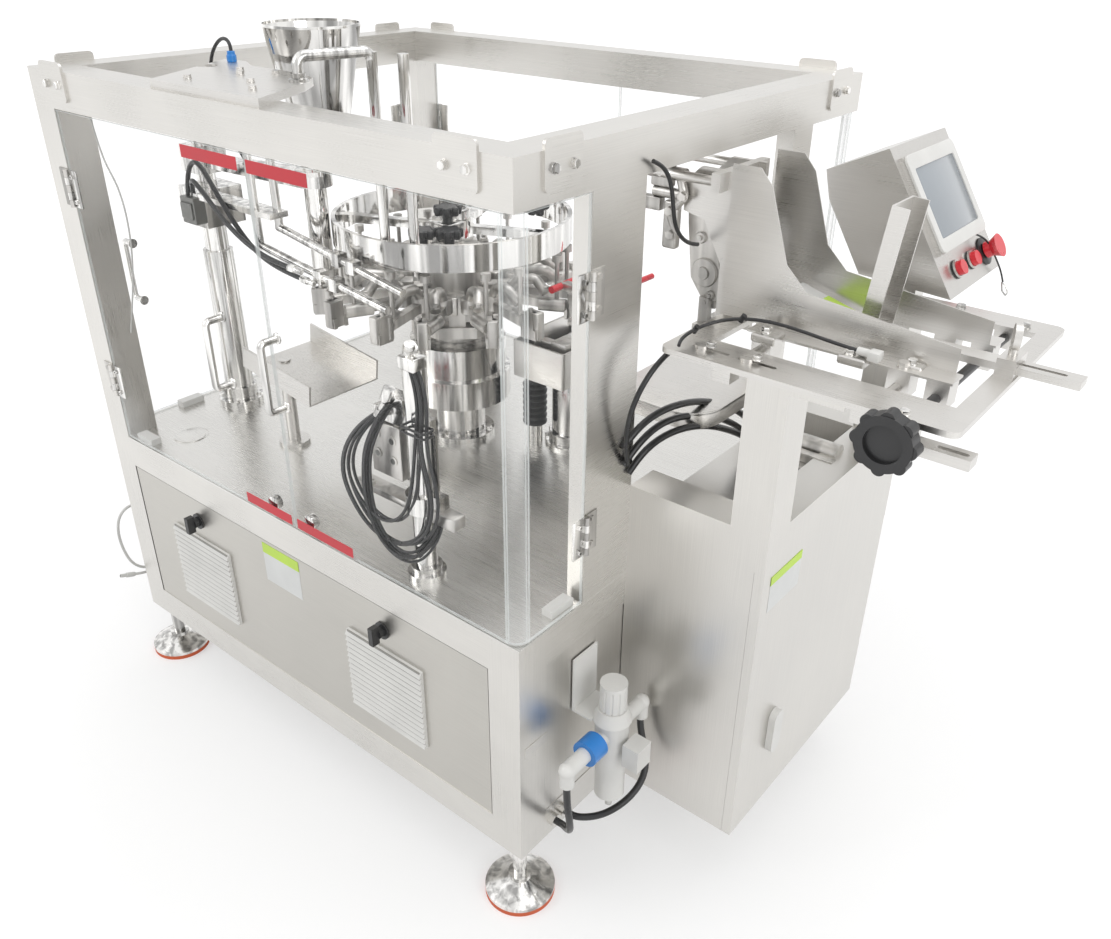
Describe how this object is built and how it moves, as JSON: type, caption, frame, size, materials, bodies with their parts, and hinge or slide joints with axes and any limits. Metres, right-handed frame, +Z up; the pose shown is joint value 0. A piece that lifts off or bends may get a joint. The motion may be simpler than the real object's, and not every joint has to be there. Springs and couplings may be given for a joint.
{
  "type": "rotary bagger",
  "caption": "Rotary machine for premade pouches: steel frame with clear doors, turret with gripper arms, hopper, pouch magazine, cabinet and console.",
  "frame": {"origin": "middle of the bounding box on the floor, under the levelling feet", "axes": "+X towards the pouch magazine, -Y towards the front doors, +Z up"},
  "size_m": [1.686, 0.976, 1.312],
  "materials": {
    "brushed_steel": "brushed",
    "polished_steel": "polished",
    "cast_steel": "satin",
    "drive_paint": "satin",
    "clear_acrylic": "clear",
    "white_plastic": "gloss",
    "black_plastic": "matte",
    "red_plastic": "gloss",
    "blue_plastic": "gloss",
    "pad_rubber": "matte",
    "hose_black": "satin",
    "cable_grey": "satin"
  },
  "bodies": {
    "frame": {"base_frame": "brushed_steel", "base_panels": "brushed_steel", "front_panel": "brushed_steel", "vent_grilles": "white_plastic", "deck_plate": "brushed_steel", "upper_frame": "brushed_steel", "top_cover": "brushed_steel", "levelling_feet": "brushed_steel", "foot_pads": "pad_rubber", "door_hinges": "cast_steel", "back_guard": "clear_acrylic", "door_catches": "white_plastic", "pedestal": "cast_steel", "cam_ring": "polished_steel", "index_drive": "drive_paint", "deck_columns": "polished_steel", "discharge_chute": "brushed_steel", "drive_posts": "cast_steel", "cabinet_body": "brushed_steel", "stand_frame": "brushed_steel", "magazine_table": "brushed_steel", "console_box": "brushed_steel", "filter_regulator": "white_plastic", "inlet_hose": "hose_black", "outlet_hose": "hose_black", "sensor_cable": "hose_black", "side_cable": "cable_grey"},
    "turret": {"turret": "cast_steel", "fixed_arms": "cast_steel"},
    "filler_head": {"filler_head": "polished_steel", "hopper": "polished_steel"},
    "lock_left": {"lock_left": "black_plastic"},
    "lock_right": {"lock_right": "black_plastic"},
    "front_door_left": {"front_door_left": "clear_acrylic"},
    "front_door_right": {"front_door_right": "clear_acrylic"},
    "side_door": {"side_door": "clear_acrylic"},
    "back_door": {"back_door": "clear_acrylic"},
    "opening_rods": {"opening_rods": "polished_steel"},
    "seal_jaw": {"seal_jaw": "cast_steel"},
    "feeder_arm": {"feeder_arm": "cast_steel"},
    "suction_bar": {"suction_bar": "cast_steel"},
    "cabinet_door": {"cabinet_door": "brushed_steel"},
    "swing_handle": {"swing_handle": "white_plastic"},
    "near_guide": {"near_guide": "brushed_steel"},
    "far_guide": {"far_guide": "brushed_steel"},
    "width_handwheel": {"width_handwheel": "black_plastic"},
    "pouch_pusher": {"pouch_pusher": "brushed_steel"},
    "emergency_stop": {"emergency_stop": "red_plastic"},
    "start_button": {"start_button": "red_plastic"},
    "stop_button": {"stop_button": "red_plastic"},
    "regulator_knob": {"regulator_knob": "white_plastic"},
    "lockout_collar": {"lockout_collar": "blue_plastic"},
    "swing_arm_1": {"swing_arm_1": "cast_steel"},
    "swing_arm_2": {"swing_arm_2": "cast_steel"},
    "swing_arm_3": {"swing_arm_3": "cast_steel"},
    "swing_arm_4": {"swing_arm_4": "cast_steel"},
    "swing_arm_5": {"swing_arm_5": "cast_steel"},
    "swing_arm_6": {"swing_arm_6": "cast_steel"},
    "swing_arm_7": {"swing_arm_7": "cast_steel"},
    "swing_arm_8": {"swing_arm_8": "cast_steel"}
  },
  "joints": [
    {"name": "lock_left_turn", "type": "hinge", "parent": "frame", "child": "lock_left", "pos_m": [-0.523, -0.45, 0.442], "axis": [0, 1, 0], "range_deg": [0, 90]},
    {"name": "lock_right_turn", "type": "hinge", "parent": "frame", "child": "lock_right", "pos_m": [-0.001, -0.45, 0.442], "axis": [0, 1, 0], "range_deg": [0, 90]},
    {"name": "front_door_left_swing", "type": "hinge", "parent": "frame", "child": "front_door_left", "pos_m": [-0.729, -0.455, 0.87], "axis": [0, 0, 1], "range_deg": [-110, 0]},
    {"name": "front_door_right_swing", "type": "hinge", "parent": "frame", "child": "front_door_right", "pos_m": [0.303, -0.304, 0.87], "axis": [0, 0, 1], "range_deg": [0, 95]},
    {"name": "side_door_swing", "type": "hinge", "parent": "frame", "child": "side_door", "pos_m": [-0.797, 0.387, 0.87], "axis": [0, 0, 1], "range_deg": [-110, 0]},
    {"name": "back_door_swing", "type": "hinge", "parent": "frame", "child": "back_door", "pos_m": [-0.729, 0.455, 0.87], "axis": [0, 0, 1], "range_deg": [0, 110]},
    {"name": "turret_turn", "type": "hinge", "parent": "frame", "child": "turret", "pos_m": [-0.247, 0, 0.807], "axis": [0, 0, 1], "continuous": true},
    {"name": "swing_arm_1_turn", "type": "hinge", "parent": "turret", "child": "swing_arm_1", "pos_m": [-0.135, 0.024, 0.857], "axis": [0, 0, 1], "range_deg": [-8, 2]},
    {"name": "swing_arm_2_turn", "type": "hinge", "parent": "turret", "child": "swing_arm_2", "pos_m": [-0.18477, 0.09617, 0.857], "axis": [0, 0, 1], "range_deg": [-8, 2]},
    {"name": "swing_arm_3_turn", "type": "hinge", "parent": "turret", "child": "swing_arm_3", "pos_m": [-0.271, 0.112, 0.857], "axis": [0, 0, 1], "range_deg": [-8, 2]},
    {"name": "swing_arm_4_turn", "type": "hinge", "parent": "turret", "child": "swing_arm_4", "pos_m": [-0.34317, 0.06223, 0.857], "axis": [0, 0, 1], "range_deg": [-8, 2]},
    {"name": "swing_arm_5_turn", "type": "hinge", "parent": "turret", "child": "swing_arm_5", "pos_m": [-0.359, -0.024, 0.857], "axis": [0, 0, 1], "range_deg": [-8, 2]},
    {"name": "swing_arm_6_turn", "type": "hinge", "parent": "turret", "child": "swing_arm_6", "pos_m": [-0.30923, -0.09617, 0.857], "axis": [0, 0, 1], "range_deg": [-8, 2]},
    {"name": "swing_arm_7_turn", "type": "hinge", "parent": "turret", "child": "swing_arm_7", "pos_m": [-0.223, -0.112, 0.857], "axis": [0, 0, 1], "range_deg": [-8, 2]},
    {"name": "swing_arm_8_turn", "type": "hinge", "parent": "turret", "child": "swing_arm_8", "pos_m": [-0.15083, -0.06223, 0.857], "axis": [0, 0, 1], "range_deg": [-8, 2]},
    {"name": "filler_head_slide", "type": "slide", "parent": "frame", "child": "filler_head", "axis": [0, 0, 1], "range_m": [-0.015, 0]},
    {"name": "opening_rods_slide", "type": "slide", "parent": "frame", "child": "opening_rods", "axis": [0, 0, 1], "range_m": [0, 0.008]},
    {"name": "seal_jaw_slide", "type": "slide", "parent": "frame", "child": "seal_jaw", "axis": [0.7071, -0.7071, 0], "range_m": [0, 0.015]},
    {"name": "feeder_swing", "type": "hinge", "parent": "frame", "child": "feeder_arm", "pos_m": [0.284, 0.0075, 1.119], "axis": [0, 1, 0], "range_deg": [0, 80]},
    {"name": "suction_bar_turn", "type": "hinge", "parent": "feeder_arm", "child": "suction_bar", "pos_m": [0.3084, 0.0075, 0.96492], "axis": [0, 1, 0], "range_deg": [-80, 0]},
    {"name": "cabinet_door_swing", "type": "hinge", "parent": "frame", "child": "cabinet_door", "pos_m": [0.5187, 0.285, 0.386], "axis": [0, 0, 1], "range_deg": [0, 110]},
    {"name": "swing_handle_turn", "type": "hinge", "parent": "cabinet_door", "child": "swing_handle", "pos_m": [0.5353, -0.085, 0.271], "axis": [1, 0, 0], "range_deg": [0, 90]},
    {"name": "handwheel_turn", "type": "hinge", "parent": "frame", "child": "width_handwheel", "pos_m": [0.686, -0.232, 0.941], "axis": [0, 1, 0], "range_deg": [-1830, 750]},
    {"name": "near_guide_slide", "type": "slide", "parent": "frame", "child": "near_guide", "axis": [0, 1, 0], "range_m": [-0.025, 0.01]},
    {"name": "far_guide_slide", "type": "slide", "parent": "frame", "child": "far_guide", "axis": [0, 1, 0], "range_m": [-0.01, 0.025]},
    {"name": "pusher_slide", "type": "slide", "parent": "frame", "child": "pouch_pusher", "axis": [1, 0, 0], "range_m": [-0.07, 0.1]},
    {"name": "start_button_press", "type": "slide", "parent": "frame", "child": "start_button", "axis": [-0.8387, 0, -0.5446], "range_m": [0, 0.004], "stiffness_N_per_m": 1500, "springref_m": -0.003},
    {"name": "stop_button_press", "type": "slide", "parent": "frame", "child": "stop_button", "axis": [-0.8387, 0, -0.5446], "range_m": [0, 0.004], "stiffness_N_per_m": 1500, "springref_m": -0.003},
    {"name": "emergency_stop_press", "type": "slide", "parent": "frame", "child": "emergency_stop", "axis": [-0.8387, 0, -0.5446], "range_m": [0, 0.004], "stiffness_N_per_m": 1500, "springref_m": -0.003},
    {"name": "regulator_knob_turn", "type": "hinge", "parent": "frame", "child": "regulator_knob", "pos_m": [0.358, -0.295, 0.4], "axis": [0, 0, 1], "range_deg": [-150, 150]},
    {"name": "lockout_collar_slide", "type": "slide", "parent": "frame", "child": "lockout_collar", "axis": [0, 1, 0], "range_m": [0, 0.008]}
  ],
  "couplings": [
    {"joint": "swing_arm_2_turn", "follows": "swing_arm_1_turn", "ratio": 1},
    {"joint": "swing_arm_3_turn", "follows": "swing_arm_1_turn", "ratio": 1},
    {"joint": "swing_arm_4_turn", "follows": "swing_arm_1_turn", "ratio": 1},
    {"joint": "swing_arm_5_turn", "follows": "swing_arm_1_turn", "ratio": 1},
    {"joint": "swing_arm_6_turn", "follows": "swing_arm_1_turn", "ratio": 1},
    {"joint": "swing_arm_7_turn", "follows": "swing_arm_1_turn", "ratio": 1},
    {"joint": "swing_arm_8_turn", "follows": "swing_arm_1_turn", "ratio": 1},
    {"joint": "suction_bar_turn", "follows": "feeder_swing", "ratio": -1},
    {"joint": "handwheel_turn", "follows": "near_guide_slide", "rad_per_m": 1256.6},
    {"joint": "far_guide_slide", "follows": "near_guide_slide", "ratio": -1}
  ]
}
